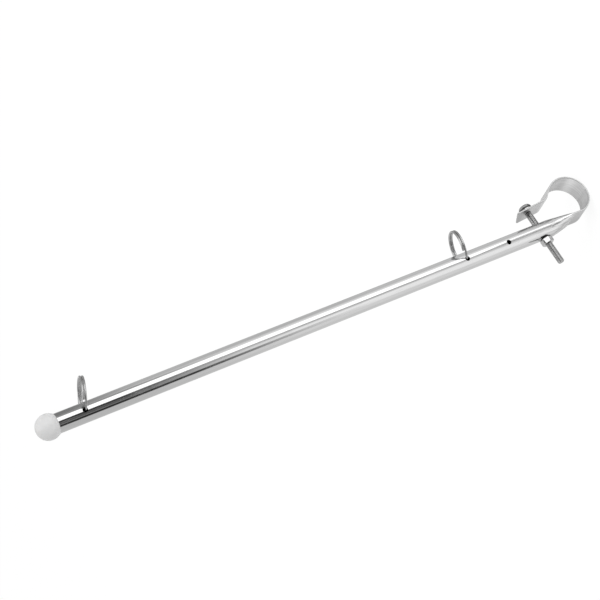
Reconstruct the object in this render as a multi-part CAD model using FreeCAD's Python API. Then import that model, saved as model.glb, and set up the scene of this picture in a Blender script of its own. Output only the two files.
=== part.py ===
import FreeCAD, Part
import os
from math import atan2, cos, degrees, pi, radians, sin, sqrt, tan

# Rail-mount flagstaff: a polished stainless tube whose foot is pressed flat and rolled into
# a clamp for a guard rail, closed by one screw and nut, with a ball on the top end and two
# split rings for the flag. Millimetres. The origin is the middle of the rail's bore.
# +Z runs up the staff, +X from the staff towards the tab under the screw head,
# and Y is the axis of the rail. A height is a distance above the rail's axis.

# ---- staff tube ----
tube_d = 12.7
wall = 0.55
tube_top_z = 406.8

# ---- rail clamp, formed from the pressed end of the tube ----
rail_r = 14.05
strap_w = 16.2
strap_edge = 0.35          # radius along the strap's two rims
edge_limit = 0.45          # of the strap's thickness, the most that radius may be
tube_set_out = 0.6         # the tube's axis, outside the middle of the strap's thickness
wrap_end = 15.0            # degrees past +X at which the strap leaves the rail
shoulder_r = 22.5          # from there it turns in on this wider radius
shoulder_end = 46.0        # until it points this many degrees past +Z
bend_r = 5.5               # reverse bend, hollow side
tab_tilt = 5.4             # degrees that the tab leans towards the staff
tab_x = 1.3                # the tab's inner face at the screw
tab_above_near = 13.3      # the tab's end is sheared at a slant: heights above the screw
tab_above_far = 7.3
tab_corner_r = 1.2

# ---- taper from the round tube to the flat strap ----
taper_top_z = 27.0
spread_end_z = 9.0         # the tube has its full flat width from here down
crease_mid_z = 7.4         # the flat starts higher in the middle of the tube than at its edges
crease_edge_z = 4.4
crease_half = 0.35         # half thickness of the pressed tube where it enters the strap
side_spread = 0.03         # the pressed tube's sides stand this far outside the strap's rims
taper_foot = 0.2           # the taper's lowest outline, above the crease's edge
plate_lap = 0.6            # the strap's solid metal reaches this far above the crease
cavity_floor = 0.3         # metal between that and the pointed end of the tube's bore
press_ease = 1.5           # how soon below the taper's top the tube spreads to its flat width
flat_square = 0.25         # squareness of the pressed section: 1 is an ellipse, 0 a rectangle
section_points = 28
outer_section_count = 13
bore_section_count = 8
section_ease = 1.6         # how far the sections crowd towards the crease
join_tol = 0.001
same = 1e-6

# ---- cross holes for the rings ----
hole_turn = -8.0           # degrees out of square with the clamp
hole_clear = 0.21          # round the doubled wire of a ring
hole_low_z = 64.8
hole_mid_z = 100.4
hole_below_top = 18.1      # the highest hole, under the tube's end

# ---- screw, lock washer and nut ----
screw_z = 33.4
screw_r = 2.5
screw_len = 46.0           # under the head
screw_chamfer = 0.5
screw_clear = 0.1          # in the tube, the tab and the washer
thread_clear = 0.05        # in the nut
head_r = 4.75
head_h = 3.7
head_foot = 0.35           # radius at the foot of the head
head_side_h = 1.1          # height of the head's widest circle
dome_r = 3.3               # where the rounded side runs into the dome
dome_h = 0.45
washer_r = 4.6
washer_t = 1.2
washer_gap = 1.0
washer_slant = 25.0
washer_turn = 60.0
nut_flats = 8.0
nut_h = 4.0
nut_turn = -6.0
nut_chamfer = 0.55

# ---- ball ----
ball_r = 8.3
ball_lip = 0.12            # the ball's flat seat overhangs the tube by this much
spigot_len = 12.0
spigot_clear = 0.03
spigot_chamfer = 0.8

# ---- split rings ----
ring_d = 25.4
wire_d = 1.5
coil_gap = 0.08            # between the ring's two turns
cross_half = 30.0          # degrees of ring, either side of the tube's axis, in which the wire steps over
end_gap = 61.0             # degrees from the tube's axis to each end of the wire
ring_hang = 0.4            # the wire lies this far off the hole's axis
ring_low_swing = 6.0       # degrees that a ring leans over, at rest
ring_high_swing = 19.0
ring_low_askew = -12.0     # degrees that it stands askew in its holes
ring_high_askew = -5.5
ring_low_slip = 0.0        # it lies this much nearer the ball than the middle of its holes
ring_high_slip = -0.38

# ---- derived ----
tube_r = tube_d / 2
bore_r = tube_r - wall
strap_t = 2 * wall                     # both walls of the tube pressed together
tube_x = -(rail_r + strap_t / 2 + tube_set_out)
hole_high_z = tube_top_z - hole_below_top
bend_in = bend_r + strap_t
plate_top_z = crease_mid_z + plate_lap
tab_near_z = screw_z + tab_above_near
tab_far_z = screw_z + tab_above_far
lean = tan(radians(tab_tilt))
head_seat_x = tab_x + strap_t / cos(radians(tab_tilt)) + washer_r * lean + washer_t
wire_r = wire_d / 2
ring_r = ring_d / 2 - wire_r
layer = wire_r + coil_gap / 2          # each turn's offset from the ring's middle plane
hole_r = layer + wire_r + hole_clear

V = FreeCAD.Vector
O = V(0, 0, 0)
X = V(1, 0, 0)
Y = V(0, 1, 0)
Z = V(0, 0, 1)


def turned(points, arcs=()):
    """Solid of revolution about Z from (radius, height) points. arcs maps a point's index
    to the middle point of the arc that leads from it to the next point."""
    arcs = dict(arcs)
    edges = []
    for i, (r, z) in enumerate(points):
        next_r, next_z = points[(i + 1) % len(points)]
        if i in arcs:
            mid_r, mid_z = arcs[i]
            edges.append(Part.Arc(V(r, 0, z), V(mid_r, 0, mid_z), V(next_r, 0, next_z)).toShape())
        else:
            edges.append(Part.makeLine(V(r, 0, z), V(next_r, 0, next_z)))
    return Part.Face(Part.Wire(edges)).revolve(O, Z, 360)


def lay_along_x(shape, x):
    """Lay a piece that was made along +Z on the screw's line, pointing along +X."""
    shape = shape.copy()
    shape.rotate(O, Y, 90)
    shape.translate(V(x, 0, screw_z))
    return shape


# ---------------------------------------------------------------- staff
def pressed_width(z):
    """Half width of the tube at one height, as pressing spreads it."""
    spread = min(1.0, (taper_top_z - z) / (taper_top_z - spread_end_z))
    return tube_r + (strap_w / 2 + side_spread - tube_r) * (1 - (1 - spread) ** press_ease)


def taper_section(z, inner):
    """Outline of the pressed tube at one height, as a closed smooth curve. The sides stay
    rounded while the middle sinks, and the section drifts over to the strap."""
    half_w = pressed_width(z)
    height = (z - crease_edge_z) / (taper_top_z - crease_edge_z)
    middle_x = tube_x + tube_set_out * (1 - height)
    points = []
    for i in range(section_points):
        a = 2 * pi * i / section_points
        s, c = sin(a), cos(a)
        crease = crease_mid_z - (crease_mid_z - crease_edge_z) * c * c
        rise = sqrt(max(0.0, (z - crease) / (taper_top_z - crease)))
        if inner:
            x = bore_r * rise * s
            y = (half_w - wall) * c
        else:
            squareness = flat_square + (1 - flat_square) * rise * rise
            rim = abs(s) ** squareness
            x = (tube_r - crease_half) * rise * s + (crease_half * rim if s > 0 else -crease_half * rim)
            y = half_w * c
        points.append(V(middle_x + x, y, z))
    curve = Part.BSplineCurve()
    curve.interpolate(Points=points, PeriodicFlag=True,
                      Parameters=[i / section_points for i in range(section_points + 1)])
    return Part.Wire(curve.toShape())


def taper(low_z, count, inner):
    """Loft from the round tube down to low_z, with the sections closer towards the crease."""
    fall = [(1 - i / (count - 1)) ** section_ease for i in range(count)]
    return Part.makeLoft([taper_section(low_z + (taper_top_z - low_z) * f, inner) for f in fall], True, False)


def strap_profile():
    """The strap seen along the rail: down from the foot of the tube, round the rail,
    in over the shoulder, back through the reverse bend and up along the tab."""
    def toward(angle):
        return V(cos(angle), 0, sin(angle))

    w = radians(wrap_end)
    s = radians(shoulder_end)
    t = radians(tab_tilt)
    shoulder = toward(w) * (rail_r - shoulder_r)
    neck_foot = shoulder + toward(s) * shoulder_r
    along = V(-sin(s), 0, cos(s))
    tab_up = V(-sin(t), 0, cos(t))
    # length of the straight neck that brings the tab's inner face to tab_x at the screw
    across = V(1, 0, lean)
    start = neck_foot + (toward(s) - toward(t)) * bend_in
    neck = (tab_x + lean * screw_z - start.dot(across)) / along.dot(across)
    centre = neck_foot + toward(s) * bend_in + along * neck

    def face(depth):
        r = rail_r + depth
        bend = bend_in - depth
        tab_foot = centre - toward(t) * bend
        reach = (tab_near_z + strap_t - tab_foot.z) / tab_up.z
        neck_start = neck_foot + toward(s) * depth
        neck_end = neck_start + along * neck

        def arc(middle, radius, first, last):
            points = [middle + toward(a) * radius for a in (first, (first + last) / 2, last)]
            return Part.Arc(*points).toShape()

        return [Part.makeLine(V(-r, 0, plate_top_z), V(-r, 0, 0)),
                arc(O, r, -pi, -pi / 2),
                arc(O, r, -pi / 2, w),
                arc(shoulder, shoulder_r + depth, w, s),
                Part.makeLine(neck_start, neck_end),
                Part.Arc(neck_end, centre - toward((s + t) / 2) * bend, tab_foot).toShape(),
                Part.makeLine(tab_foot, tab_foot + tab_up * reach)]

    inner, outer = face(0), face(strap_t)
    top = Part.makeLine(inner[-1].Vertexes[-1].Point, outer[-1].Vertexes[-1].Point)
    foot = Part.makeLine(outer[0].Vertexes[0].Point, inner[0].Vertexes[0].Point)
    return Part.Wire(Part.__sortEdges__(inner + [top] + outer + [foot]))


def make_strap():
    side = strap_w / 2
    flat = Part.Face(strap_profile())
    flat.translate(V(0, -side, 0))
    strap = flat.extrude(V(0, strap_w, 0))
    # shear the end of the tab at a slant, and break its two corners
    left = 2 * tube_x
    deep = 2 * tube_x
    outline = Part.makePolygon([V(left, -side, deep), V(left, -side, tab_near_z),
                                V(left, side, tab_far_z), V(left, side, deep), V(left, -side, deep)])
    blank = Part.Face(outline).extrude(V(-2 * left, 0, 0))
    corners = [e for e in blank.Edges if e.BoundBox.XLength > -left and e.BoundBox.ZMin > 0]
    strap = strap.common(blank.makeFillet(tab_corner_r, corners))
    rims = []
    for e in strap.Edges:
        box = e.BoundBox
        on_rim = box.YLength < same and abs(abs(box.YMin) - side) < same
        if on_rim and e.Length > 2 * strap_t:
            rims.append(e)
    return strap.makeFillet(min(strap_edge, edge_limit * strap_t), rims)


def make_staff():
    length = tube_top_z - taper_top_z
    foot = V(tube_x, 0, taper_top_z)
    tube = Part.makeCylinder(tube_r, length, foot, Z)
    bore = Part.makeCylinder(bore_r, length, foot, Z)
    # the tapers' top outlines are circles to within join_tol, so they join the tube cleanly
    outside = tube.fuse([taper(crease_edge_z + taper_foot, outer_section_count, False)], join_tol)
    inside = bore.fuse([taper(plate_top_z + cavity_floor, bore_section_count, True)], join_tol)
    staff = outside.fuse(make_strap()).cut(inside)
    # screw hole through the tube's two walls and the tab
    reach = tab_x - tube_x + 2 * tube_d
    staff = staff.cut(Part.makeCylinder(screw_r + screw_clear, reach, V(tube_x - tube_d, 0, screw_z), X))
    turn = radians(hole_turn)
    across = V(-sin(turn), cos(turn), 0)
    for z in (hole_low_z, hole_mid_z, hole_high_z):
        staff = staff.cut(Part.makeCylinder(hole_r, 2 * tube_d, V(tube_x, 0, z) - across * tube_d, across))
    return staff


# ---------------------------------------------------------------- small parts
def make_ball():
    """Turned ball with a flat seat on the tube's end and a spigot pressed into its bore."""
    lip_r = tube_r + ball_lip
    seat = -sqrt(ball_r ** 2 - lip_r ** 2)
    low = seat - spigot_len
    r = bore_r - spigot_clear
    spigot = [(0, low), (r - spigot_chamfer, low), (r, low + spigot_chamfer), (r, seat)]
    ball = turned(spigot + [(lip_r, seat), (0, ball_r)], {4: (ball_r, 0)})
    ball.translate(V(tube_x, 0, tube_top_z - seat))
    return ball


def bulge_middle(widest_r, widest_z, end_r, end_z):
    """Middle point of an arc that stands upright at its widest point and ends at another."""
    across = widest_r - end_r
    rise = end_z - widest_z
    arc_r = (across ** 2 + rise ** 2) / (2 * across)
    half = atan2(rise, arc_r - across) / 2
    return (widest_r - arc_r + arc_r * cos(half), widest_z + arc_r * sin(half))


def make_screw():
    """Pan head and plain shank, made with the head's seat at 0."""
    end = -screw_len
    profile = [(0, end), (screw_r - screw_chamfer, end), (screw_r, end + screw_chamfer), (screw_r, 0),
               (head_r - head_foot, 0), (head_r, head_side_h), (dome_r, head_h - dome_h), (0, head_h)]
    side_mid = bulge_middle(head_r, head_side_h, head_r - head_foot, 0)
    shoulder_mid = bulge_middle(head_r, head_side_h, dome_r, head_h - dome_h)
    sphere = (dome_r ** 2 + dome_h ** 2) / (2 * dome_h)
    dome_mid = (dome_r / 2, head_h - sphere + sqrt(sphere ** 2 - dome_r ** 2 / 4))
    return lay_along_x(turned(profile, {4: side_mid, 5: shoulder_mid, 6: dome_mid}), head_seat_x)


def make_washer():
    """Spring lock washer, cut through at a slant and pressed flat by the screw."""
    washer = Part.makeCylinder(washer_r, washer_t).cut(Part.makeCylinder(screw_r + screw_clear, washer_t))
    depth = 4 * washer_t
    slot = Part.makeBox(2 * washer_r, washer_gap, depth, V(0, -washer_gap / 2, -depth / 2))
    slot.rotate(O, X, washer_slant)
    washer = washer.cut(slot)
    washer.rotate(O, Z, washer_turn)
    return lay_along_x(washer, head_seat_x - washer_t)


def make_nut():
    corner = nut_flats / sqrt(3)
    ring = [V(corner * cos(radians(60 * i)), corner * sin(radians(60 * i)), 0) for i in range(7)]
    nut = Part.Face(Part.makePolygon(ring)).extrude(V(0, 0, nut_h))
    rise = nut_chamfer * tan(radians(30))
    crown = turned([(0, 0), (corner - nut_chamfer, 0), (corner, rise), (corner, nut_h - rise),
                    (corner - nut_chamfer, nut_h), (0, nut_h)])
    nut = nut.common(crown).cut(Part.makeCylinder(screw_r + thread_clear, nut_h))
    nut.rotate(O, Z, nut_turn)
    return lay_along_x(nut, tube_x - tube_r - nut_h)


def make_ring(z, swing, askew, slip):
    """Split ring: two turns of wire side by side, threaded through a cross hole so that the
    wire steps over inside the tube. It is made square with the tube, turned askew as its play
    in the holes allows, then swung about the hole's axis."""
    def at(angle, offset):
        a = radians(angle)
        return V(ring_r * cos(a), ring_r * sin(a), offset)

    def heading(angle):
        a = radians(angle)
        return V(-sin(a), cos(a), 0)

    def wire_section(angle, offset):
        return Part.Face(Part.Wire(Part.Circle(at(angle, offset), heading(angle), wire_r).toShape()))

    def turn(start, end, offset):
        return wire_section(start, offset).revolve(O, Z, end - start)

    # the wire steps over in two arcs, each tangent to its turn, that meet smoothly halfway
    cross_start = 180 - cross_half
    cross_end = 180 + cross_half
    halfway = at(180, 0) * sqrt(1 + (layer / ring_r) ** 2)

    def step(angle, offset, way):
        begin = at(angle, offset)
        direction = heading(angle) * way
        chord = halfway - begin
        axis = direction.cross(chord).normalize()
        half = direction.getAngle(chord)
        centre = begin + axis.cross(direction) * (chord.Length / 2 / sin(half))
        return wire_section(angle, offset).revolve(centre, axis, degrees(2 * half))

    first = turn(end_gap - 180, cross_start, layer)
    second = turn(cross_end, 540 - end_gap, -layer)
    ring = first.fuse([step(cross_start, layer, 1), step(cross_end, -layer, -1), second]).removeSplitter()

    # the wire's middle line passes ring_hang outside the hole's axis in the tube's wall
    reach = sqrt(ring_r ** 2 - (tube_r - wall / 2) ** 2)
    ring.translate(V(reach, 0, 0))
    ring.rotate(O, X, askew)
    ring.translate(V(ring_hang, 0, 0))
    ring.rotate(O, Y, swing)
    ring.rotate(O, Z, hole_turn)
    ring.translate(V(tube_x, 0, z + slip))
    return ring


nodes = {
    "staff": make_staff(),
    "ball_cap": make_ball(),
    "split_ring_upper": make_ring(hole_high_z, ring_high_swing, ring_high_askew, ring_high_slip),
    "split_ring_lower": make_ring(hole_mid_z, ring_low_swing, ring_low_askew, ring_low_slip),
    "clamp_screw": make_screw(),
    "lock_washer": make_washer(),
    "hex_nut": make_nut(),
}

os.makedirs("parts", exist_ok=True)
for name, shape in nodes.items():
    shape.exportStep("parts/" + name + ".step")
    state = "valid" if shape.isValid() else "INVALID"
    print(name, state, len(shape.Solids), "solid", round(shape.Volume, 1), "mm3")
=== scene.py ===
# %% [markdown]
# # A flagstaff for a boat's rail, dressed in Blender
# The frame is the construction model: a stainless tube whose foot is pressed flat and rolled
# into a rail clamp, a nylon ball, two split rings, and one screw with its washer and nut. It
# comes in at real size, with every piece in place. This file gives each piece its finish,
# builds what the construction leaves plain, such as the screw's thread, and sets up a small
# photo studio round it.

# %% Load the frame
import bpy
import bmesh
from math import atan2, cos, degrees, pi, radians, sin, sqrt, tan
from mathutils import Matrix, Vector


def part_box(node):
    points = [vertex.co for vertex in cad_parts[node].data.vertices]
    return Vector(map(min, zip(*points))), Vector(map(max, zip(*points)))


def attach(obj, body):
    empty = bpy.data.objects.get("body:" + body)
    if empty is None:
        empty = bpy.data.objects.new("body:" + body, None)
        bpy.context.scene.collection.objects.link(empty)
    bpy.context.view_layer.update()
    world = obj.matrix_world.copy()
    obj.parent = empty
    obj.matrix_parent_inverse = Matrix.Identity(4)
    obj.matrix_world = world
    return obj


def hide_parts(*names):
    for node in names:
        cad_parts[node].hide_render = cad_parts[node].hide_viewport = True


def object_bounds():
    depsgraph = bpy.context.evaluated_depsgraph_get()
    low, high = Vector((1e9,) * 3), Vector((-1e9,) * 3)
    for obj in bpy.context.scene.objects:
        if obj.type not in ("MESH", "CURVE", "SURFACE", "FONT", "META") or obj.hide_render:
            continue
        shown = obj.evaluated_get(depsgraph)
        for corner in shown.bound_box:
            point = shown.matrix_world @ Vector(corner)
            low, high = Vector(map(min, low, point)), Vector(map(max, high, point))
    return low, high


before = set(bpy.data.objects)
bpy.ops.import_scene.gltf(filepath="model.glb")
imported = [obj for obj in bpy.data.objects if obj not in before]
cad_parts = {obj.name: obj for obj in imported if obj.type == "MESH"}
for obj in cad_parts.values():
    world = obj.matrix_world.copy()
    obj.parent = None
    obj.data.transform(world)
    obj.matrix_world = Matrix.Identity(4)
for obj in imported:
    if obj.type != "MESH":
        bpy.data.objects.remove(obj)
cad_low, cad_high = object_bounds()
mm = 0.001
print("construction box in mm:", [round(v / mm, 1) for v in (*cad_low, *cad_high)])

# %% [markdown]
# ## Reading places from the frame
# A piece that is built here has to sit on what carries it, so its place is worked out from
# the boxes of the construction's own pieces and not typed in a second time. The tube's radius
# and wall are typed, because no box shows them.

# %% Places that several pieces share
tube_r = 6.35 * mm
tube_wall = 0.55 * mm
ball_low, ball_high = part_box("ball_cap")
screw_low, screw_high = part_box("clamp_screw")
staff_low, staff_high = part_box("staff")
tube_x = staff_low.x + tube_r
screw_z = (screw_low.z + screw_high.z) / 2
print("tube axis at x =", round(tube_x / mm, 2), "mm, screw at z =", round(screw_z / mm, 2), "mm")

# %% [markdown]
# ## Small helpers for node trees
# Every finish and every generated mesh is a node tree. `add` puts one node in a tree, fills
# its inputs, and links an input when the value given for it is another node's output. The
# others are the few nodes that the finishes use most. A mask is a value that is 1 where an
# effect lies and 0 where it doesn't.


# %% Node helpers
def add(tree, kind, values=(), **settings):
    node = tree.nodes.new(kind)
    for key, value in settings.items():
        setattr(node, key, value)
    for key, value in dict(values).items():
        if isinstance(value, bpy.types.NodeSocket):
            tree.links.new(value, node.inputs[key])
        else:
            node.inputs[key].default_value = value
    return node


def calc(tree, operation, *values, clamp=False):
    """One sum, as the output of a Math node."""
    node = add(tree, "ShaderNodeMath", enumerate(values), operation=operation, use_clamp=clamp)
    return node.outputs[0]


def fade(tree, value, start, end, low=0.0, high=1.0):
    """A value that goes smoothly from low to high while the input goes from start to end."""
    inputs = {"Value": value, "From Min": start, "From Max": end, "To Min": low, "To Max": high}
    return add(tree, "ShaderNodeMapRange", inputs, interpolation_type="SMOOTHSTEP").outputs[0]


def where_both(tree, first, second):
    """The mask of the places that lie in two masks."""
    return calc(tree, "MULTIPLY", first, second)


def mix_value(tree, factor, a, b):
    return add(tree, "ShaderNodeMix", {0: factor, 2: a, 3: b}).outputs[0]


def mix_colour(tree, factor, a, b):
    return add(tree, "ShaderNodeMix", {0: factor, 6: a, 7: b}, data_type="RGBA").outputs[2]


def grey(level):
    return (level, level, level, 1.0)


def noise(tree, place, scale, detail):
    """The outputs of a Noise Texture: a cloudy value round 0.5, and a colour."""
    values = {"Vector": place, "Scale": scale, "Detail": detail}
    return add(tree, "ShaderNodeTexNoise", values).outputs


def object_axes(tree):
    """A piece's own x, y and z, as three values."""
    place = add(tree, "ShaderNodeTexCoord").outputs["Object"]
    return add(tree, "ShaderNodeSeparateXYZ", {0: place}).outputs


def feeding(node, name):
    """The output that is linked to one of a node's inputs."""
    return node.inputs[name].links[0].from_socket


def new_group(name, kind, inputs, outputs):
    """An empty node group with named sockets, given as (name, socket type, default)."""
    tree = bpy.data.node_groups.new(name, kind)
    for label, socket, default in inputs:
        made = tree.interface.new_socket(name=label, in_out="INPUT", socket_type=socket)
        if default is not None:
            made.default_value = default
    for label, socket in outputs:
        tree.interface.new_socket(name=label, in_out="OUTPUT", socket_type=socket)
    return tree, tree.nodes.new("NodeGroupInput"), tree.nodes.new("NodeGroupOutput")


# %% [markdown]
# ## Finished pieces
# A piece that is built here stands in for one of the construction's own. Its object sits at
# the origin and its place is in its mesh, so a pattern on object coordinates stays where it
# belongs. Modifiers are turned into plain mesh first, and then the piece rides on the body
# that its part moves with.


# %% A finished piece from a mesh
def new_piece(name, mesh, material, body, replaced):
    """A piece at the origin that rides on a body of the construction."""
    piece = bpy.data.objects.new(name, mesh)
    bpy.context.scene.collection.objects.link(piece)
    mesh.materials.clear()
    mesh.materials.append(material)
    for face in mesh.polygons:
        face.material_index = 0
    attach(piece, body)
    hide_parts(*replaced)
    print(name, len(mesh.polygons), "faces")


def baked(source):
    """The evaluated mesh of an object, as a plain mesh of its own. The source is removed."""
    bpy.context.view_layer.update()
    evaluated = source.evaluated_get(bpy.context.evaluated_depsgraph_get())
    mesh = bpy.data.meshes.new_from_object(evaluated)
    bpy.data.objects.remove(source)
    return mesh


# %% [markdown]
# ## The camera
# The product is photographed from above its clamp end, with the picture turned so that the
# staff climbs from lower left to upper right. The eye's place, its aim and the turn about the
# line of sight were worked out once, from the real sizes and where they lie in the picture. A
# long lens keeps the perspective weak.

# %% Make the camera
camera_eye = Vector((-370.5, -880.5, 679.1)) * mm
camera_aim = Vector((34.2, 74.5, 184.2)) * mm
camera_turn = 111.2
camera_lens, film_width = 97.5, 36
nearest, farthest = 10 * mm, 20

camera_data = bpy.data.cameras.new("camera")
camera_data.lens = camera_lens
camera_data.sensor_width = film_width
camera_data.clip_start = nearest
camera_data.clip_end = farthest
camera = bpy.data.objects.new("camera", camera_data)
bpy.context.scene.collection.objects.link(camera)
camera.rotation_mode = "QUATERNION"
upright = (camera_aim - camera_eye).to_track_quat("-Z", "Y").to_matrix()
turned = upright @ Matrix.Rotation(radians(-camera_turn), 3, "Z")
camera.location = camera_eye
camera.rotation_quaternion = turned.to_quaternion()
bpy.context.scene.camera = camera
print("camera", round((camera_aim - camera_eye).length, 3), "m from its aim")

# %% [markdown]
# ## The studio
# Polished steel has no colour of its own to speak of: it shows the room. A photographer lays
# out white sweeps, one long soft light and a dark gap, and the tube draws them as bands along
# its length. Here the world plays that room, because cards that are only light and no objects
# can't get into another view. A card is a patch of the sky, between two turns round the
# horizon and two rises above it.


# %% A card of the studio as a node group
def studio_card_group():
    """Lays one card over what is already there. Turn and Rise are the ray's degrees round from
    the camera and above the horizon. Below its Pivot a card leans, by Lean degrees a degree."""
    floats = ["Turn", "Rise", "Start", "End", "Start Soft", "End Soft",
              "Low", "High", "Low Soft", "High Soft", "Lean", "Pivot", "Level", "Behind"]
    sockets = [(name, "NodeSocketFloat", 0.0) for name in floats]
    outputs = [("Level", "NodeSocketFloat")]
    tree, given, result = new_group("studio_card", "ShaderNodeTree", sockets, outputs)
    get = given.outputs
    rise = get["Rise"]
    under = calc(tree, "MAXIMUM", calc(tree, "SUBTRACT", get["Pivot"], rise), 0.0)
    turn = calc(tree, "SUBTRACT", get["Turn"], calc(tree, "MULTIPLY", under, get["Lean"]))
    edges = ((turn, "Start", 0, 1), (turn, "End", 1, 0), (rise, "Low", 0, 1), (rise, "High", 1, 0))
    mask = 1.0
    for value, edge, low, high in edges:
        half = calc(tree, "MULTIPLY", get[edge + " Soft"], 0.5)
        first, last = calc(tree, "SUBTRACT", get[edge], half), calc(tree, "ADD", get[edge], half)
        mask = where_both(tree, mask, fade(tree, value, first, last, low, high))
    level = mix_value(tree, mask, get["Behind"], get["Level"])
    tree.links.new(level, result.inputs[0])
    return tree


# %% [markdown]
# ## Laying out the cards
# The pale walls and the sweep come first, and lights, dark gaps and soft borders are laid over
# them. A card covers the ones above it in the list, as paper would. Each was placed by asking
# which way a mirror on the tube, the clamp or the screw sends its ray.

# %% The cards
no_edge = 999      # degrees that no ray reaches: the card has no edge on that side


def card(name, level, turn=(-no_edge, no_edge), soft=(1, 1), rise=(-no_edge, no_edge),
         rise_soft=(1, 1), lean=0, pivot=-90):
    """One card: its light level, the two turns and two rises that it lies between, how soft
    each edge is, and its lean. All angles are in degrees."""
    values = {"Start": turn[0], "End": turn[1], "Start Soft": soft[0], "End Soft": soft[1],
              "Low": rise[0], "High": rise[1], "Low Soft": rise_soft[0],
              "High Soft": rise_soft[1], "Lean": lean, "Pivot": pivot, "Level": level}
    return name, values


studio_cards = [
    # name, level, turns, their softness, rises, their softness
    card("side_wall", 0.80, (-no_edge, -92), (1, 30)),
    card("high_side_wall", 0.68, (-150, -54), (20, 8), (-22, 0), (8, 20)),
    card("white_sweep", 1.18, (-50, -6), (20, 10)),
    card("far_wall", 0.64, (85, 172), (40, 44)),
    card("low_far_wall", 0.74, (98, 130), (16, 20), (-60, -27.5), (1, 3)),
    card("far_corner", 0.57, (152, no_edge), (20, 1), (-45, -16), (5, 4)),
    card("side_corner", 0.70, (-no_edge, -148), (1, 20), (-45, -10), (5, 8)),
    card("back_glow", 1.15, (-150, -112), (12, 12), (0, 26), (10, 8)),
    card("strip_spill", 1.10, (50, 72), (4, 28), (-90, -22), (1, 6)),
    card("high_far_wall", 0.26, (66, 150), (6, 30), (-17.9, -8), (3, 8)),
    card("strip_border", 0.40, (60, 78), (4, 10), (-21, -8), (5, 8)),
    card("dark_gap", 0.04, (-53, -27), (8, 8), (-24.8, 0), (8, 8)),
    card("gap_glow", 0.12, (-27, -5), (8, 8), (-21.7, -4), (7, 8)),
    card("gap_line", 0.05, (-5, 15.5), (6, 3), (-22.3, -4), (8, 8)),
    card("ceiling", 0.70, rise=(45, no_edge), rise_soft=(14, 1)),
    card("top_light", 2.2, (68, 170), (16, 10), (54, no_edge), (10, 1)),
    card("dark_corner", 0.16, (-70, 10), (14, 8), (6, 52), (5, 10)),
    card("strip_light", 1.80, (18.5, 58), (4, 7), (-42, 33), (6, 8)),
    card("sweep_seam", 0.82, (-3, 17), (12, 4), (-90, -22), (1, 6), lean=2.5, pivot=-29.5),
    card("seam_line", 0.50, (7, 18), (6, 4), (-90, -22), (1, 6), lean=2.5, pivot=-29.5),
    card("high_gap", 0.08, (35, 75), (8, 14), (34, 58), (6, 8)),
    card("dark_window", 0.42, (-96, -64), (10, 8), (-14, 0), (5, 5)),
    card("back_shade", 0.30, (168, no_edge), (8, 1), (27, 38), (4, 6)),
    card("low_shade", 0.12, (92, 145), (14, 20), (-68, -39), (6, 3), lean=-2.2, pivot=-39),
]
print(len(studio_cards), "cards in the studio")

# %% [markdown]
# ## The world behind them
# The world's nodes turn a ray's direction into its turn and rise, and pass a level of light
# through all the cards. Mirror-like rays get that level. The camera sees plain white, for a
# clean background, and everything matt gets an even light, so that no card colours it.

# %% Put the cards in the world
open_room = 0.92
even_light = 0.80
seen_white = 1.0

camera_heading = atan2(camera_eye.y, camera_eye.x - tube_x)
world = bpy.data.worlds.new("studio")
bpy.context.scene.world = world
world.use_nodes = True
room = world.node_tree
room.nodes.clear()
direction = add(room, "ShaderNodeTexCoord").outputs["Generated"]
east, north, height = add(room, "ShaderNodeSeparateXYZ", {0: direction}).outputs
heading = calc(room, "SUBTRACT", calc(room, "ARCTAN2", north, east), camera_heading)
turn = calc(room, "DEGREES", calc(room, "WRAP", heading, pi, -pi))
rise = calc(room, "DEGREES", calc(room, "ARCSINE", height))
card_group = studio_card_group()
level = open_room
for name, values in studio_cards:
    ray = {"Turn": turn, "Rise": rise, "Behind": level}
    placed = add(room, "ShaderNodeGroup", node_tree=card_group, label=name)
    for key, value in {**ray, **values}.items():
        if isinstance(value, bpy.types.NodeSocket):
            room.links.new(value, placed.inputs[key])
        else:
            placed.inputs[key].default_value = value
    level = placed.outputs[0]

rays = add(room, "ShaderNodeLightPath").outputs
mirrored = calc(room, "MAXIMUM", rays["Is Glossy Ray"], rays["Is Transmission Ray"])
matt_or_mirror = mix_value(room, mirrored, even_light, level)
strength = mix_value(room, rays["Is Camera Ray"], matt_or_mirror, seen_white)
background = add(room, "ShaderNodeBackground", {"Color": grey(1.0), "Strength": strength})
room.links.new(background.outputs[0], add(room, "ShaderNodeOutputWorld").inputs[0])
print(len(room.nodes), "nodes in the world")

# %% [markdown]
# ## Floor and lamp
# The floor is pale and takes the object's soft shadow. Most of what the camera sees of it is
# its own white, so the background stays as clean as a catalogue picture. One large soft lamp
# gives the matt ball its shape. Mirror rays don't see lamp or floor, because the cards stand
# for both.

# %% Floor
floor_size = 6.0
floor_gap = 0.2 * mm
floor_colour = 0.93
floor_glow = 1.06
glow_share = 0.80      # how much of the floor the camera sees as glow

bpy.ops.mesh.primitive_plane_add(size=floor_size, location=(0, 0, cad_low.z - floor_gap))
floor = bpy.context.object
floor.name = "floor"
floor.visible_glossy = False
paper = bpy.data.materials.new("floor_paper")
paper.use_nodes = True
tree = paper.node_tree
tree.nodes.clear()
rays = add(tree, "ShaderNodeLightPath").outputs
shaded = add(tree, "ShaderNodeBsdfDiffuse", {"Color": grey(floor_colour)}).outputs[0]
white = add(tree, "ShaderNodeEmission", {"Color": grey(1.0), "Strength": floor_glow}).outputs[0]
share = calc(tree, "MULTIPLY", rays["Is Camera Ray"], glow_share)
surface = add(tree, "ShaderNodeMixShader", {0: share, 1: shaded, 2: white}).outputs[0]
tree.links.new(surface, add(tree, "ShaderNodeOutputMaterial").inputs[0])
floor.data.materials.append(paper)
print("floor", floor_size, "m wide, at z =", round(floor.location.z / mm, 2), "mm")

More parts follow.
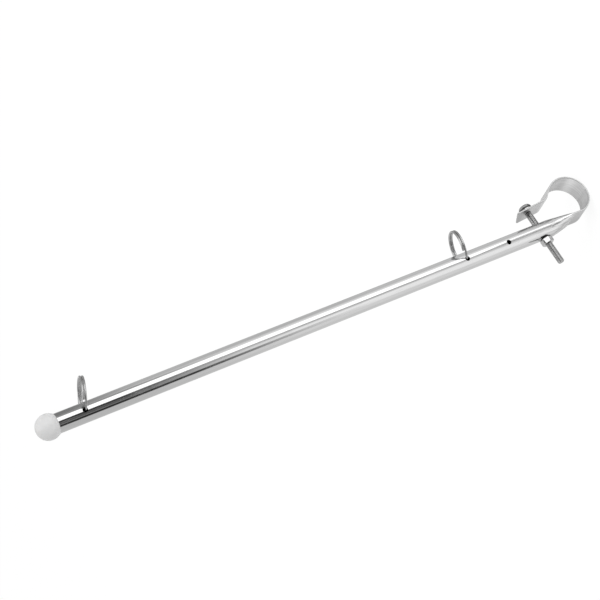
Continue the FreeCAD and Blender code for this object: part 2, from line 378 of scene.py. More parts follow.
# %% Lamp
lamp_place = Vector((0.5, -1.2, 1.3))
lamp_size, lamp_power = 1.2, 9
middle = (cad_low + cad_high) / 2

lamp_data = bpy.data.lights.new("soft_key", "AREA")
lamp_data.shape = "DISK"
lamp_data.size = lamp_size
lamp_data.energy = lamp_power
lamp = bpy.data.objects.new("soft_key", lamp_data)
lamp.location = lamp_place
lamp.rotation_mode = "QUATERNION"
lamp.rotation_quaternion = (middle - lamp_place).to_track_quat("-Z", "Y")
lamp.visible_glossy = False
bpy.context.scene.collection.objects.link(lamp)
bpy.context.scene.view_settings.view_transform = "Standard"
print("lamp", lamp_size, "m across,", round((middle - lamp_place).length, 2), "m away")

# %% [markdown]
# ## Effects that the metals share
# Drawn and pressed steel carries fine lines along the way it was worked, and every handled
# piece has faint marks that show only as a change of gloss. Both are node groups, so each
# metal places them with values of its own.


# %% Drawn lines
def drawn_lines_group():
    """Fine lines that run where Stretch is small. Line is about 0.5 on average."""
    sockets = [("Stretch", "NodeSocketVector", (1, 1, 1)), ("Scale", "NodeSocketFloat", 1000.0),
               ("Contrast", "NodeSocketFloat", 1.0)]
    outputs = [("Line", "NodeSocketFloat")]
    tree, given, result = new_group("drawn_lines", "ShaderNodeTree", sockets, outputs)
    get = given.outputs
    place = add(tree, "ShaderNodeTexCoord").outputs["Object"]
    stretched = add(tree, "ShaderNodeVectorMath", {0: place, 1: get["Stretch"]},
                    operation="MULTIPLY").outputs[0]
    centred = calc(tree, "SUBTRACT", noise(tree, stretched, get["Scale"], 3.0)[0], 0.5)
    line = calc(tree, "MULTIPLY_ADD", centred, get["Contrast"], 0.5, clamp=True)
    tree.links.new(line, result.inputs[0])
    return tree


drawn_lines = drawn_lines_group()
print(drawn_lines.name, "has", len(drawn_lines.nodes), "nodes")

# %% Handling marks
smudge_start, smudge_end = 0.42, 0.70      # levels of a noise between which a smudge comes up
gate_start, gate_end = 0.52, 0.62          # and between which the scratches do
gate_scale = 150.0
bend_scale, bend_reach = 90.0, 4 * mm
hair_width = 0.02                          # as a share of a cell


def handling_marks_group():
    """Smudge is a slow cloudy mask, Scratch a sparse net of hairlines."""
    sockets = [("Smudge Scale", "NodeSocketFloat", 60.0),
               ("Scratch Scale", "NodeSocketFloat", 400.0)]
    outputs = [("Smudge", "NodeSocketFloat"), ("Scratch", "NodeSocketFloat")]
    tree, given, result = new_group("handling_marks", "ShaderNodeTree", sockets, outputs)
    get = given.outputs
    place = add(tree, "ShaderNodeTexCoord").outputs["Object"]
    cloud = noise(tree, place, get["Smudge Scale"], 4.0)[0]
    tree.links.new(fade(tree, cloud, smudge_start, smudge_end), result.inputs["Smudge"])
    # the hairlines are borders of cells, bent by a noise, and a second noise hides most of them
    bent = noise(tree, place, bend_scale, 1.0)[1]
    moved = add(tree, "ShaderNodeVectorMath", {0: bent, 1: (bend_reach,) * 3, 2: place},
                operation="MULTIPLY_ADD").outputs[0]
    cells = add(tree, "ShaderNodeTexVoronoi", {"Vector": moved, "Scale": get["Scratch Scale"]},
                feature="DISTANCE_TO_EDGE").outputs[0]
    hair = fade(tree, cells, 0.0, hair_width, low=1.0, high=0.0)
    gate = fade(tree, noise(tree, place, gate_scale, 0.0)[0], gate_start, gate_end)
    tree.links.new(where_both(tree, hair, gate), result.inputs["Scratch"])
    return tree


handling_marks = handling_marks_group()
print(handling_marks.name, "has", len(handling_marks.nodes), "nodes")

# %% [markdown]
# ## A steel finish
# All the metal here is stainless steel, and the pieces differ in colour, polish and the way
# their lines run. One function makes the finish from those values. A second lays another grey
# and roughness over it, for a mark or for painted shade, so a piece's finish is the common one
# and what lies over it.

# %% Steel and tints
line_contrast = 1.6
line_shade = 0.90        # a line's dark side, as a share of the colour
line_depth = 0.02 * mm
scratch_rough = 0.12     # what a scratch adds to the roughness
scratch_dent = -0.4      # its height, in line depths


def steel(name, colour, roughness, stretch, line_scale, line_bump, smudge_gloss,
          scratch_scale=400.0):
    """Polished stainless steel. Lines and marks change its gloss and dent it a very little."""
    made = bpy.data.materials.new(name)
    made.use_nodes = True
    tree = made.node_tree
    shader = tree.nodes["Principled BSDF"]
    shader.inputs["Metallic"].default_value = 1.0
    values = {"Stretch": stretch, "Scale": line_scale, "Contrast": line_contrast}
    line = add(tree, "ShaderNodeGroup", values, node_tree=drawn_lines).outputs["Line"]
    marks = add(tree, "ShaderNodeGroup", {"Scratch Scale": scratch_scale},
                node_tree=handling_marks).outputs
    shaded = mix_colour(tree, line, grey(colour * line_shade), grey(colour))
    tree.links.new(shaded, shader.inputs["Base Color"])
    worn = calc(tree, "MULTIPLY_ADD", marks["Smudge"], smudge_gloss, roughness)
    scratched = calc(tree, "MULTIPLY_ADD", marks["Scratch"], scratch_rough, worn)
    tree.links.new(scratched, shader.inputs["Roughness"])
    dents = calc(tree, "MULTIPLY_ADD", marks["Scratch"], scratch_dent, line)
    bump = add(tree, "ShaderNodeBump",
               {"Strength": line_bump, "Distance": line_depth, "Height": dents})
    tree.links.new(bump.outputs[0], shader.inputs["Normal"])
    print(name, "has", len(tree.nodes), "nodes")
    return made, shader


def tint(tree, shader, mask, colour, roughness):
    """Lay another colour and roughness over a finish where a mask is 1."""
    coloured = mix_colour(tree, mask, feeding(shader, "Base Color"), grey(colour))
    tree.links.new(coloured, shader.inputs["Base Color"])
    rough = mix_value(tree, mask, feeding(shader, "Roughness"), roughness)
    tree.links.new(rough, shader.inputs["Roughness"])


# %% [markdown]
# ## The staff's steel
# Tube and clamp are one piece of metal with two finishes. The round part keeps the bright
# polish of the tube stock. Where the tube was pressed flat and rolled, the surface is satin,
# with streaks along the strap, and the tools have burnished its two rims. One material holds
# both, and the place on the piece decides between them.

# %% Where the satin lies
strap_half_w = 8.1 * mm
rim_w = 0.7 * mm
satin_top_z = 9.0 * mm
satin_fade = 5.0 * mm
strap_side_x = -8.0 * mm
side_fade = 1 * mm

staff_steel, shader = steel("staff_steel", 0.70, 0.07, stretch=(1, 1, 0.02), line_scale=2500.0,
                            line_bump=0.10, smudge_gloss=0.05)
tree = staff_steel.node_tree
x, y, z = object_axes(tree)
low_down = fade(tree, z, satin_top_z, satin_top_z - satin_fade)
beside = fade(tree, x, strap_side_x, strap_side_x + side_fade)
satin = calc(tree, "MAXIMUM", low_down, beside)
off_middle = calc(tree, "ABSOLUTE", y)
rim = where_both(tree, satin, fade(tree, off_middle, strap_half_w - rim_w, strap_half_w))
print("satin below z =", round(satin_top_z / mm, 1), "mm and beyond x =",
      round(strap_side_x / mm, 1), "mm, rims", round(rim_w / mm, 1), "mm wide")

# %% [markdown]
# ## Satin and its painted shade
# The satin's streaks make its gloss, its grey and a fine bump. Its grey is also painted uneven:
# painted shade darkens it towards the far rim, at the tab's end and beside the crease, and a
# painted reflection makes it brightest in the reverse bend. One picture doesn't tell how much
# of that is the metal and how much is the room. Each of these is a mask and a grey, laid one
# over the other, so one can be left out without touching the rest.

# %% Satin on the strap
satin_dark, satin_light = 0.58, 0.92
satin_rough, streak_rough = 0.30, 0.16
streak_height = 3.0      # in the line depths of the tube's own bump
rim_grey, rim_rough = 0.58, 0.42

streaks = add(tree, "ShaderNodeGroup",
              {"Stretch": (0.06, 1, 0.06), "Scale": 1400.0, "Contrast": 1.8},
              node_tree=drawn_lines).outputs["Line"]
dull = calc(tree, "MULTIPLY_ADD", streaks, streak_rough, satin_rough)
rough = mix_value(tree, satin, feeding(shader, "Roughness"), dull)
tree.links.new(mix_value(tree, rim, rough, rim_rough), shader.inputs["Roughness"])

bump = feeding(shader, "Normal").node
streak_dents = calc(tree, "MULTIPLY", streaks, streak_height)
height = mix_value(tree, satin, feeding(bump, "Height"), streak_dents)
tree.links.new(height, bump.inputs["Height"])
print("satin roughness", satin_rough, "to", round(satin_rough + streak_rough, 2))

# %% Painted shade and reflection on the satin
# each one's strength, and the grey that it turns the satin to
far_share, far_grey = 0.50, 0.42
tab_share, tab_grey = 0.55, 0.34
bend_share, bend_grey = 0.7, 1.0
crease_share, crease_grey = 0.5, 0.42
# where it starts, and where it is at its strongest
tab_start_z, tab_full_z = 33 * mm, 42 * mm
bend_low_z, bend_low_full_z = 4 * mm, 8 * mm
bend_high_z, bend_high_full_z = 24 * mm, 19 * mm
crease_start_x, crease_full_x = -12 * mm, -17 * mm

far_side_shade = fade(tree, y, -strap_half_w, strap_half_w, high=far_share)
tab_end_shade = where_both(tree, beside, fade(tree, z, tab_start_z, tab_full_z, high=tab_share))
above = fade(tree, z, bend_low_z, bend_low_full_z)
below = fade(tree, z, bend_high_z, bend_high_full_z, high=bend_share)
bend_reflection = where_both(tree, beside, where_both(tree, above, below))
near_side = fade(tree, x, crease_start_x, crease_full_x, high=crease_share)
crease_shade = where_both(tree, low_down, near_side)
# painted shade on the far side, the tab's end and beside the crease; painted reflection in the
# bend
painted_shades = [(far_side_shade, far_grey), (tab_end_shade, tab_grey), (bend_reflection, bend_grey),
          (crease_shade, crease_grey)]
matt = mix_colour(tree, streaks, grey(satin_dark), grey(satin_light))
for mask, level in painted_shades:
    matt = mix_colour(tree, mask, matt, grey(level))
colour = mix_colour(tree, satin, feeding(shader, "Base Color"), matt)
tree.links.new(mix_colour(tree, rim, colour, grey(rim_grey)), shader.inputs["Base Color"])
print(len(painted_shades), "shades in the satin")

# %% [markdown]
# ## Marks of the press
# Three marks belong to the pressed end alone: shallow wrinkles that fan out from the crease, a
# darker, duller streak along the tube's side, and one fine line beside it that runs from the
# spare hole to the crease. All are long and narrow. The wrinkles are a second, coarser bump under
# the first one, and painted shade along their crests keeps them readable under a soft light. The
# streak and the line are tints alone. Their place round the tube is an angle about its axis, so
# each is a mask that is narrow round the tube and long along it.

# %% Wrinkles by the crease
wrinkle_top_z, wrinkle_full_z = 56 * mm, 16 * mm
wrinkle_scale, wrinkle_stretch = 850.0, 0.10
wrinkle_depth = 0.16 * mm
crest_start, crest_end, crest_share = 0.50, 0.60, 0.8

lengthwise = calc(tree, "MULTIPLY", z, wrinkle_stretch)
wrinkle_place = add(tree, "ShaderNodeCombineXYZ", {0: x, 1: y, 2: lengthwise}).outputs[0]
wrinkles = noise(tree, wrinkle_place, wrinkle_scale, 1.0)[0]
polished = calc(tree, "SUBTRACT", 1.0, satin)
near_crease = where_both(tree, fade(tree, z, wrinkle_top_z, wrinkle_full_z), polished)
pressed = calc(tree, "MULTIPLY", wrinkles, near_crease)
coarse = add(tree, "ShaderNodeBump",
             {"Strength": 1.0, "Distance": wrinkle_depth, "Height": pressed})
tree.links.new(coarse.outputs[0], bump.inputs["Normal"])
high_parts = fade(tree, wrinkles, crest_start, crest_end, high=crest_share)
crest_shade = where_both(tree, high_parts, near_crease)
print("wrinkles from z =", round(wrinkle_top_z / mm), "mm down")

# %% Streak and fine line
streak_start, streak_width = -103.5, 13.0      # degrees round the tube
edge_before, edge_after, end_soft = 2, 1, 1.5  # degrees over which its edges fade
streak_tip_z, streak_wide_z = 112 * mm, 50 * mm
streak_foot_z, streak_full_z = 14 * mm, 30 * mm
line_turn, line_half_w = -99, 0.35 * mm
line_core = 0.3                                # the share of its width that is full
line_top_z, line_end_z = 72 * mm, 17 * mm
line_top_fade, line_end_fade = 3 * mm, 4 * mm
line_share = 0.7

around = calc(tree, "DEGREES", calc(tree, "ARCTAN2", y, calc(tree, "SUBTRACT", x, tube_x)))
widening = fade(tree, z, streak_tip_z, streak_wide_z)
streak_end = calc(tree, "MULTIPLY_ADD", widening, streak_width, streak_start)
beyond = calc(tree, "SUBTRACT", around, streak_end)
after_start = fade(tree, around, streak_start - edge_before, streak_start + edge_after)
before_end = fade(tree, beyond, -end_soft, end_soft, low=1.0, high=0.0)
above_foot = fade(tree, z, streak_foot_z, streak_full_z)
in_streak = where_both(tree, after_start, where_both(tree, before_end, above_foot))

off_line = calc(tree, "ABSOLUTE", calc(tree, "SUBTRACT", around, line_turn))
line_deg = degrees(line_half_w / tube_r)
across_line = fade(tree, off_line, line_core * line_deg, line_deg, low=1.0, high=0.0)
along_line = where_both(tree, fade(tree, z, line_top_z, line_top_z - line_top_fade),
                        fade(tree, z, line_end_z, line_end_z + line_end_fade))
on_line = calc(tree, "MULTIPLY", where_both(tree, across_line, along_line), line_share)

tint(tree, shader, in_streak, colour=0.42, roughness=0.24)
# painted shade along the wrinkles' crests
tint(tree, shader, crest_shade, colour=0.45, roughness=0.20)
tint(tree, shader, on_line, colour=0.30, roughness=0.30)
print("streak", streak_width, "degrees wide, line", round(2 * line_half_w / mm, 1), "mm wide")

# %% [markdown]
# ## Rings and washer
# The staff, the rings and the washer are the construction's own solids, because nothing is
# missing from their shape. They only get a finish. The rings are hard-drawn wire, polished all
# over. Screw, nut and washer are cut or rolled from bar, and their fine lines run along the
# screw.


# %% Put finishes on the construction's own pieces
def dress(node, material):
    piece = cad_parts[node]
    piece.data.materials.clear()
    piece.data.materials.append(material)
    print(node, "is", material.name)


bar_lines = dict(stretch=(0.05, 1, 1), line_scale=1800.0, line_bump=0.15, smudge_gloss=0.10)
screw_grey, screw_rough = 0.52, 0.13

dress("staff", staff_steel)
fastener_steel, _ = steel("fastener_steel", screw_grey, screw_rough, **bar_lines)
ring_steel, _ = steel("ring_steel", 0.46, 0.08, stretch=(1, 1, 1), line_scale=900.0,
                      line_bump=0.0, smudge_gloss=0.04, scratch_scale=200.0)
dress("lock_washer", fastener_steel)
for node in ("split_ring_upper", "split_ring_lower"):
    dress(node, ring_steel)

# %% [markdown]
# ## Turned pieces
# The ball and the screw's head are turned on a lathe, and a lathe is easy to repeat in a mesh:
# draw half of the outline, then spin it. A bmesh spin is chosen over a modifier because the
# outline's points stay exact, so the piece still fits the seat that the construction gives it.

# %% Lathe
weld_reach = 0.001 * mm


def arc_points(middle, radius, first, last, count):
    """Points of an arc, as (distance from the axis, height). Angles in degrees."""
    angles = [radians(first + (last - first) * i / (count - 1)) for i in range(count)]
    return [(middle[0] + radius * cos(a), middle[1] + radius * sin(a)) for a in angles]


def lathe(outline, steps):
    """Closed mesh from an outline that starts and ends on the axis, spun about Z."""
    shape = bmesh.new()
    points = [shape.verts.new((max(r, 0.0), 0, z)) for r, z in outline]
    edges = [shape.edges.new(pair) for pair in zip(points, points[1:])]
    bmesh.ops.spin(shape, geom=points + edges, cent=(0, 0, 0), axis=(0, 0, 1), angle=2 * pi,
                   steps=steps)
    bmesh.ops.remove_doubles(shape, verts=shape.verts, dist=weld_reach)
    bmesh.ops.recalc_face_normals(shape, faces=shape.faces)
    return shape


def smooth_mesh(shape, name, sharp):
    """Mesh from a bmesh, shaded smooth except across edges sharper than an angle."""
    for face in shape.faces:
        face.smooth = True
    for edge in shape.edges:
        edge.smooth = len(edge.link_faces) == 2 and edge.calc_face_angle(0) < radians(sharp)
    mesh = bpy.data.meshes.new(name)
    shape.to_mesh(mesh)
    shape.free()
    return mesh


# %% [markdown]
# ## The nylon ball
# The ball is moulded or turned nylon with a flat seat on the tube's end and a spigot pressed
# into the bore. Its outline is a few straight lines and one arc, so the lathe makes it in one
# go, with the spigot in the same shell.

# %% Ball shape
ball_r = (ball_high.x - ball_low.x) / 2
ball_z = ball_high.z - ball_r
seat_z = staff_high.z
seat_r = sqrt(ball_r ** 2 - (ball_z - seat_z) ** 2)
seat_rim = 0.15 * mm
seat_angle = degrees(atan2(seat_z - ball_z, seat_r))
seat_bevel = 1      # degrees between the seat's rim and the start of the arc
spigot_clear = 0.03 * mm
spigot_r = tube_r - tube_wall - spigot_clear
spigot_chamfer = 0.8 * mm
ball_points, ball_steps, ball_sharp = 40, 96, 40

outline = [(0, ball_low.z), (spigot_r - spigot_chamfer, ball_low.z),
           (spigot_r, ball_low.z + spigot_chamfer), (spigot_r, seat_z),
           (seat_r - seat_rim, seat_z)]
outline += arc_points((0, ball_z), ball_r, seat_angle + seat_bevel, 90, ball_points)
shape = lathe(outline, ball_steps)
bmesh.ops.translate(shape, verts=shape.verts, vec=(tube_x, 0, 0))
ball_mesh = smooth_mesh(shape, "ball", ball_sharp)
print("ball radius", round(ball_r / mm, 2), "mm, seat radius", round(seat_r / mm, 2), "mm")

# %% [markdown]
# ## Nylon
# Natural nylon is a milky white that lets a little light in, so its shadows stay soft: a small
# subsurface share does that. The surface is smooth with the faint ripple of a moulding.

# %% Nylon finish
nylon_dark, nylon_light = 0.63, 0.69
nylon_smooth, nylon_dull = 0.34, 0.46
milky_share, milky_reach = 0.35, 2.5 * mm
cloud_scale, ripple_scale = 180.0, 900.0
ripple_strength, ripple_depth = 0.12, 0.05 * mm

nylon = bpy.data.materials.new("nylon_ball")
nylon.use_nodes = True
tree = nylon.node_tree
shader = tree.nodes["Principled BSDF"]
place = add(tree, "ShaderNodeTexCoord").outputs["Object"]
cloud = noise(tree, place, cloud_scale, 3.0)[0]
ripple = noise(tree, place, ripple_scale, 2.0)[0]
shader.inputs["Subsurface Weight"].default_value = milky_share
shader.inputs["Subsurface Radius"].default_value = (1.0, 0.95, 0.9)
shader.inputs["Subsurface Scale"].default_value = milky_reach
milky = mix_colour(tree, cloud, grey(nylon_dark), grey(nylon_light))
tree.links.new(milky, shader.inputs["Base Color"])
tree.links.new(fade(tree, cloud, 0.3, 0.7, nylon_smooth, nylon_dull), shader.inputs["Roughness"])
bump = add(tree, "ShaderNodeBump",
           {"Strength": ripple_strength, "Distance": ripple_depth, "Height": ripple})
tree.links.new(bump.outputs[0], shader.inputs["Normal"])
new_piece("nylon_ball", ball_mesh, nylon, "mast", ["ball_cap"])

# %% [markdown]
# ## The screw's thread
# A thread is one short profile that climbs round the shank: a ruler-straight rule, and just
# what Geometry Nodes are good at. The tree starts from a flat grid, long along the helix and
# five points across one pitch. It wraps that ribbon round the axis, so each turn's far edge
# lands on the next turn's near edge, and then merges them. Where the ribbon runs past either
# end, its height is held to the end and its radius to the thread's root, so the thread runs out
# the way a rolled thread does, and a disc closes each end.

# %% Thread tree
# where the five points lie over one pitch: a flat root, a flank up, a narrow crest, a flank down
profile = (0.0, 0.25, 0.5625, 0.6875, 1.0)
seam_reach = 0.002 * mm


def thread_tree():
    floats = ["Length", "Pitch", "Crest Radius", "Root Radius", "Chamfer", "Run Out"]
    sockets = [(name, "NodeSocketFloat", 0.0) for name in floats]
    sockets += [("Steps Per Turn", "NodeSocketInt", 24), ("Material", "NodeSocketMaterial", None)]
    outputs = [("Mesh", "NodeSocketGeometry")]
    tree, given, result = new_group("rolled_thread", "GeometryNodeTree", sockets, outputs)
    get = given.outputs
    length, pitch, root = get["Length"], get["Pitch"], get["Root Radius"]

    # a flat ribbon: `step` counts along the helix, `place` is one of the profile's points
    turns = calc(tree, "ADD", calc(tree, "DIVIDE", length, pitch), 2.0)
    steps = calc(tree, "CEIL", calc(tree, "MULTIPLY", turns, get["Steps Per Turn"]))
    ribbon = add(tree, "GeometryNodeMeshGrid", {
        "Size X": steps, "Size Y": 4.0, "Vertices X": calc(tree, "ADD", steps, 1.0),
        "Vertices Y": len(profile)})
    position = add(tree, "GeometryNodeInputPosition").outputs[0]
    along, across, _ = add(tree, "ShaderNodeSeparateXYZ", {0: position}).outputs
    step = calc(tree, "ROUND", calc(tree, "MULTIPLY_ADD", steps, 0.5, along))
    place = calc(tree, "ROUND", calc(tree, "ADD", across, 2.0))
    share = add(tree, "GeometryNodeIndexSwitch", data_type="FLOAT")
    while len(share.index_switch_items) < len(profile):
        share.index_switch_items.new()
    tree.links.new(place, share.inputs[0])
    for i, value in enumerate(profile):
        share.inputs[1 + i].default_value = value
    off_crest = calc(tree, "ABSOLUTE", calc(tree, "SUBTRACT", place, 2.5))
    on_crest = calc(tree, "LESS_THAN", off_crest, 1.0)

    # the climb along the axis, held between the two ends
    turn = calc(tree, "DIVIDE", step, get["Steps Per Turn"])
    climb = calc(tree, "ADD", calc(tree, "SUBTRACT", turn, 1.0), share.outputs[0])
    free = calc(tree, "MULTIPLY", climb, pitch)
    height = calc(tree, "MINIMUM", calc(tree, "MAXIMUM", free, 0.0), length)

    # the crest may rise only as far as the run-out at the start and the chamfer at the end allow
    depth = calc(tree, "SUBTRACT", get["Crest Radius"], root)
    start = calc(tree, "DIVIDE", height, get["Run Out"], clamp=True)
    end = calc(tree, "DIVIDE", calc(tree, "SUBTRACT", length, height), get["Chamfer"], clamp=True)
    allowed = calc(tree, "MINIMUM", calc(tree, "MINIMUM", start, end), on_crest)
    radius = calc(tree, "ADD", root, calc(tree, "MULTIPLY", depth, allowed))
    angle = calc(tree, "MULTIPLY", turn, 2 * pi)
    x = calc(tree, "MULTIPLY", radius, calc(tree, "COSINE", angle))
    y = calc(tree, "MULTIPLY", radius, calc(tree, "SINE", angle))
    wrapped = add(tree, "ShaderNodeCombineXYZ", {0: x, 1: y, 2: height}).outputs[0]
    thread = add(tree, "GeometryNodeSetPosition",
                 {"Geometry": ribbon.outputs[0], "Position": wrapped}).outputs[0]

    # a disc on each end, then one closed shell
    pieces = add(tree, "GeometryNodeJoinGeometry")
    for end_z in (length, 0.0):
        disc = add(tree, "GeometryNodeMeshCircle",
                   {"Vertices": get["Steps Per Turn"], "Radius": root}, fill_type="NGON")
        lift = add(tree, "ShaderNodeCombineXYZ", {2: end_z}).outputs[0]
        raised = add(tree, "GeometryNodeTransform",
                     {"Geometry": disc.outputs[0], "Translation": lift})
        tree.links.new(raised.outputs[0], pieces.inputs[0])
    tree.links.new(thread, pieces.inputs[0])
    merged = add(tree, "GeometryNodeMergeByDistance",
                 {"Geometry": pieces.outputs[0], "Distance": seam_reach})
    real = add(tree, "GeometryNodeRealizeInstances", {"Geometry": merged.outputs[0]})
    dressed = add(tree, "GeometryNodeSetMaterial",
                  {"Geometry": real.outputs[0], "Material": get["Material"]})
    tree.links.new(dressed.outputs[0], result.inputs[0])
    return tree


def grow(name, tree, values):
    """Run a Geometry Nodes tree on an empty mesh and return what it makes as a plain mesh."""
    holder = bpy.data.objects.new(name, bpy.data.meshes.new(name))
    bpy.context.scene.collection.objects.link(holder)
    modifier = holder.modifiers.new(name, "NODES")
    modifier.node_group = tree
    for item in tree.interface.items_tree:
        if item.in_out == "INPUT" and item.name in values:
            modifier[item.identifier] = values[item.name]
    return baked(holder)


thread_group = thread_tree()
print(thread_group.name, "has", len(thread_group.nodes), "nodes")

# %% [markdown]
# ## Growing it
# The screw is a 5 mm one with the usual coarse pitch. Its thread runs out just under the head,
# and its far end has a chamfer. The nut is tapped later with the same tree and a little
# clearance, so the two always mesh.

# %% Grow the thread
thread_pitch = 0.8 * mm
screw_r = 2.5 * mm
crest_wear = 0.02 * mm
thread_crest = screw_r - crest_wear
root_depth = 0.6134      # of a metric thread, in pitches
thread_root = screw_r - root_depth * thread_pitch
thread_steps = 28
head_h = 3.7 * mm
head_seat = screw_high.x - head_h
thread_len = head_seat - screw_low.x
steel_sharp = 35


def threaded_rod(name, clearance, run_out, chamfer):
    """The thread about Z, starting at the origin and climbing down to the screw's end."""
    mesh = grow(name, thread_group, {
        "Length": thread_len, "Pitch": thread_pitch, "Crest Radius": thread_crest + clearance,
        "Root Radius": thread_root + clearance, "Chamfer": chamfer, "Run Out": run_out,
        "Steps Per Turn": thread_steps, "Material": fastener_steel})
    shape = bmesh.new()
    shape.from_mesh(mesh)
    bmesh.ops.rotate(shape, verts=shape.verts, matrix=Matrix.Rotation(pi, 3, "X"))
    bmesh.ops.recalc_face_normals(shape, faces=shape.faces)
    print(name, round(thread_len / mm, 1), "mm long,", len(shape.faces), "faces")
    return smooth_mesh(shape, name, steel_sharp)


shank_mesh = threaded_rod("shank", 0.0, run_out=1.2 * mm, chamfer=0.5 * mm)

# %% [markdown]
# ## The screw's head
# A pan head has a rounded side and an almost flat dome. Its outline is three arcs that meet:
# the foot's, the side's and the dome's. The head is spun like the ball, so the arcs only have
# to be worked out once.

# %% Head shape
head_r = (screw_high.z - screw_low.z) / 2
head_foot = 0.35 * mm
widest_z = 1.1 * mm
dome_r = 3.3 * mm
dome_h = 0.45 * mm
foot_points, side_points, dome_points, head_steps = 6, 12, 8, 72


def upright_arc(end_r, end_z, count):
    """Arc of the head's side from its widest circle, where it stands upright, to another."""
    across, rise = head_r - end_r, end_z - widest_z
    radius = (across ** 2 + rise ** 2) / (2 * across)
    last = degrees(atan2(rise, radius - across))
    return arc_points((head_r - radius, widest_z), radius, 0, last, count)


sphere = (dome_r ** 2 + dome_h ** 2) / (2 * dome_h)
dome_start = degrees(atan2(sphere - dome_h, dome_r))
outline = [(0, 0)] + upright_arc(head_r - head_foot, 0, foot_points)[::-1]
outline += upright_arc(dome_r, head_h - dome_h, side_points)[1:]
outline += arc_points((0, head_h - sphere), sphere, dome_start, 90, dome_points)[1:]
head_mesh = smooth_mesh(lathe(outline, head_steps), "head", steel_sharp)
print("head", round(2 * head_r / mm, 1), "mm across and", round(head_h / mm, 1), "mm high")

# %% [markdown]
# ## The cross recess
# A punch presses the cross into the head before the thread is rolled. The recess is two
# tapered blades crossed at their middle, cut out with a boolean, because that is what the
# punch does. Blades are plain boxes with a smaller foot, so they are typed as corners.

# %% Cross recess
flat_sided = 1      # an angle so small that every edge of a shape stays sharp


def tapered_blade(length, width, foot_length, foot_width, low, high):
    """One blade of the recess: wide at the head's top and narrow at the bottom."""
    shape = bmesh.new()
    rings = []
    for half_l, half_w, z in ((foot_length / 2, foot_width / 2, low),
                              (length / 2, width / 2, high)):
        corners = [(-half_l, -half_w), (half_l, -half_w), (half_l, half_w), (-half_l, half_w)]
        rings.append([shape.verts.new((x, y, z)) for x, y in corners])
    shape.faces.new(rings[0][::-1])
    shape.faces.new(rings[1])
    for i in range(4):
        j = (i + 1) % 4
        shape.faces.new((rings[0][i], rings[0][j], rings[1][j], rings[1][i]))
    return shape


def placed_object(name, mesh):
    thing = bpy.data.objects.new(name, mesh)
    bpy.context.scene.collection.objects.link(thing)
    return thing


def boolean(base, tool, operation):
    """Cut or join two closed meshes and return the result."""
    holder, other = placed_object("base", base), placed_object("tool", tool)
    cut = holder.modifiers.new("cut", "BOOLEAN")
    cut.object = other
    cut.operation = operation
    cut.solver = "EXACT"
    mesh = baked(holder)
    bpy.data.objects.remove(other)
    return mesh


recess_depth = 2.1 * mm
recess_span, recess_width = 4.6 * mm, 0.95 * mm
recess_foot_span, recess_foot_width = 1.3 * mm, 0.7 * mm
recess_turn = 20
blade_over = 0.3 * mm      # the blades stand out of the dome, so the cut has no skin on it
for turn in (0, 90):
    blade = tapered_blade(recess_span, recess_width, recess_foot_span, recess_foot_width,
                          head_h - recess_depth, head_h + blade_over)
    turned = Matrix.Rotation(radians(turn + recess_turn), 3, "Z")
    bmesh.ops.rotate(blade, verts=blade.verts, matrix=turned)
    head_mesh = boolean(head_mesh, smooth_mesh(blade, "blade", flat_sided), "DIFFERENCE")
print("recess", round(recess_depth / mm, 1), "mm deep")

# %% [markdown]
# ## The whole screw
# Head and thread are one piece of steel, so they are joined into one closed mesh and not just
# pushed together. Both were made about an upright axis, which is easy to think in, and only
# the finished mesh is laid along the screw's holes. Two tints are painted shade: the steel is
# painted darker in the thread's root and round the foot of the head, next to the washer. Two
# tints stand for that, because one picture doesn't tell grime from the shade between close
# parts.

# %% Join head and thread, and lay the screw in its holes
root_share = 0.4
root_full, root_end = 0.05 * mm, 0.1 * mm      # above the root, and below the crest
foot_below = 0.1 * mm
foot_top, foot_full = 1.7 * mm, 1.1 * mm


def lay_along_screw(mesh, name):
    """Turn a mesh made about Z into the screw's axis, with its origin at the head's seat."""
    shape = bmesh.new()
    shape.from_mesh(mesh)
    bmesh.ops.rotate(shape, verts=shape.verts, matrix=Matrix.Rotation(pi / 2, 3, "Y"))
    bmesh.ops.translate(shape, verts=shape.verts, vec=(head_seat, 0, screw_z))
    return smooth_mesh(shape, name, steel_sharp)


screw_mesh = lay_along_screw(boolean(head_mesh, shank_mesh, "UNION"), "screw")
screw_steel, shader = steel("screw_steel", screw_grey, screw_rough, **bar_lines)
tree = screw_steel.node_tree
x, y, z = object_axes(tree)
above_axis = calc(tree, "SUBTRACT", z, screw_z)
from_axis = add(tree, "ShaderNodeCombineXYZ", {1: y, 2: above_axis}).outputs[0]
reach = add(tree, "ShaderNodeVectorMath", {0: from_axis}, operation="LENGTH").outputs[1]
deep = fade(tree, reach, thread_root + root_full, thread_crest - root_end, low=1.0, high=0.0)
root_shade = calc(tree, "MULTIPLY", deep, root_share)
foot_shade = where_both(tree, fade(tree, x, head_seat - foot_below, head_seat),
                       fade(tree, x, head_seat + foot_top, head_seat + foot_full))
# painted shade: darker in the thread's root and round the head's foot
tint(tree, shader, root_shade, colour=0.25, roughness=0.35)
tint(tree, shader, foot_shade, colour=0.10, roughness=0.35)
new_piece("threaded_screw", screw_mesh, screw_steel, "screw", ["clamp_screw"])

# %% [markdown]
# ## The nut
# A nut is a hexagon bar, turned to a cone at both ends and tapped. The same three steps make
# it here: a six-sided prism, cut to a spun crown, less a copy of the screw's own thread with a
# little clearance. The copy lies where the screw lies, so the two threads mesh. The nut is
# turned so that one flat faces the camera, as it stands in the picture.

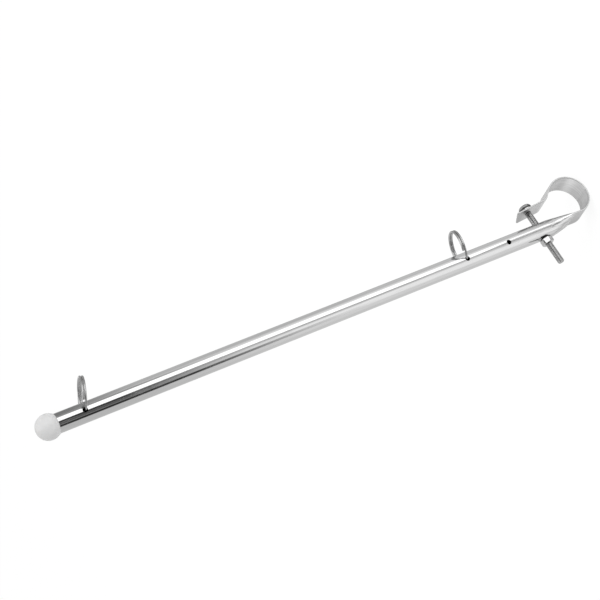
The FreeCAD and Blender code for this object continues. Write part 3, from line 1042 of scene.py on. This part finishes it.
# %% Nut shape
nut_low, nut_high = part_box("hex_nut")
nut_flats = 8.0 * mm
nut_chamfer = 0.55 * mm
crown_slope = 30
nut_turn = 3
crown_steps, crown_sharp = 96, 20
thread_clear = 0.04 * mm
tap_end = 0.01 * mm      # the tap runs right through, so its ends are cut almost square
nut_start, nut_end = nut_low.x - head_seat, nut_high.x - head_seat

corner = nut_flats / sqrt(3)
crown_rise = nut_chamfer * tan(radians(crown_slope))
crown = lathe([(0, nut_start), (corner - nut_chamfer, nut_start), (corner, nut_start + crown_rise),
               (corner, nut_end - crown_rise), (corner - nut_chamfer, nut_end), (0, nut_end)],
              crown_steps)
prism = bmesh.new()
angles = [radians(60 * i - nut_turn) for i in range(6)]
rings = [[prism.verts.new((corner * -sin(a), corner * cos(a), z)) for a in angles]
         for z in (nut_start, nut_end)]
prism.faces.new(rings[0])
prism.faces.new(rings[1][::-1])
for i in range(6):
    j = (i + 1) % 6
    prism.faces.new((rings[0][j], rings[0][i], rings[1][i], rings[1][j]))
bmesh.ops.recalc_face_normals(prism, faces=prism.faces)
nut_mesh = boolean(smooth_mesh(prism, "prism", flat_sided),
                   smooth_mesh(crown, "crown", crown_sharp), "INTERSECT")
tap = threaded_rod("tap", thread_clear, run_out=tap_end, chamfer=tap_end)
nut_mesh = boolean(nut_mesh, tap, "DIFFERENCE")
print("nut", round(nut_flats / mm, 1), "mm across the flats and",
      round((nut_end - nut_start) / mm, 1), "mm thick")

# %% [markdown]
# ## The nut's finish
# It is the screw's steel and a shade brighter, as in the picture. Its end face next to the tube
# is painted dark, as painted shade from the tube beside it.

# %% Nut finish
face_start, face_full = 0.45 * mm, 0.25 * mm

nut_steel, shader = steel("nut_steel", 0.62, 0.12, **bar_lines)
tree = nut_steel.node_tree
x, y, z = object_axes(tree)
end_face_shade = fade(tree, x, nut_high.x - face_start, nut_high.x - face_full)
# painted shade on the end face next to the tube
tint(tree, shader, end_face_shade, colour=0.10, roughness=0.5)
nut_mesh = lay_along_screw(nut_mesh, "nut")
new_piece("tapped_nut", nut_mesh, nut_steel, "nut", ["hex_nut"])
